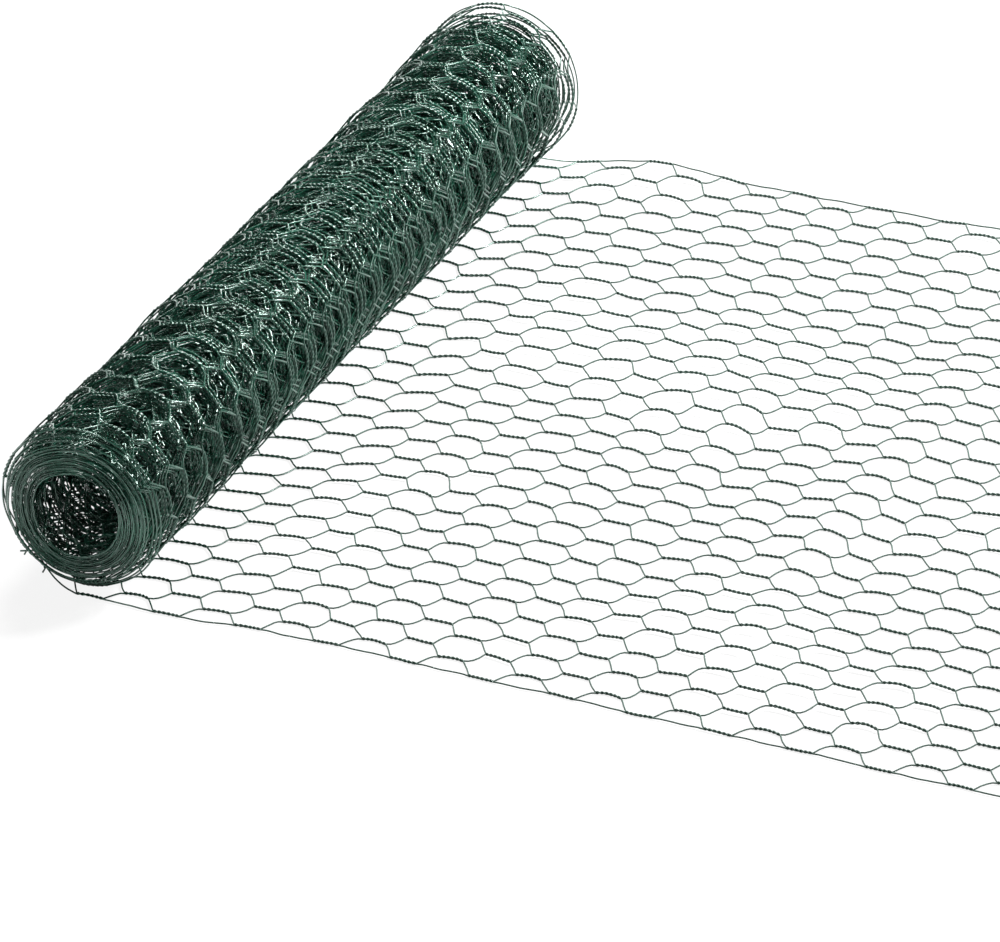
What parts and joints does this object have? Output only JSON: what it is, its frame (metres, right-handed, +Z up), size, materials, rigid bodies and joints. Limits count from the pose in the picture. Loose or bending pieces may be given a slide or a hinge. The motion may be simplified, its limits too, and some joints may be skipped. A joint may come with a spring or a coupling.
{
  "type": "roll of hexagonal wire netting",
  "caption": "Roll of green plastic-coated hexagonal wire netting with an open bore, its outer end unrolled flat along the floor.",
  "frame": {"origin": "on the floor, under the middle of the whole piece, roll and unrolled stretch together", "axes": "+Y along the roll's axis, +X the way the netting is unrolled, +Z up"},
  "size_m": [0.5951, 0.61, 0.0996],
  "materials": {
    "coated_wire": "dark green PVC coating on galvanised wire, glossy"
  },
  "bodies": {
    "root": {"roll": "coated_wire", "flat_netting_1": "coated_wire", "flat_netting_2": "coated_wire", "flat_netting_3": "coated_wire"}
  },
  "joints": []
}
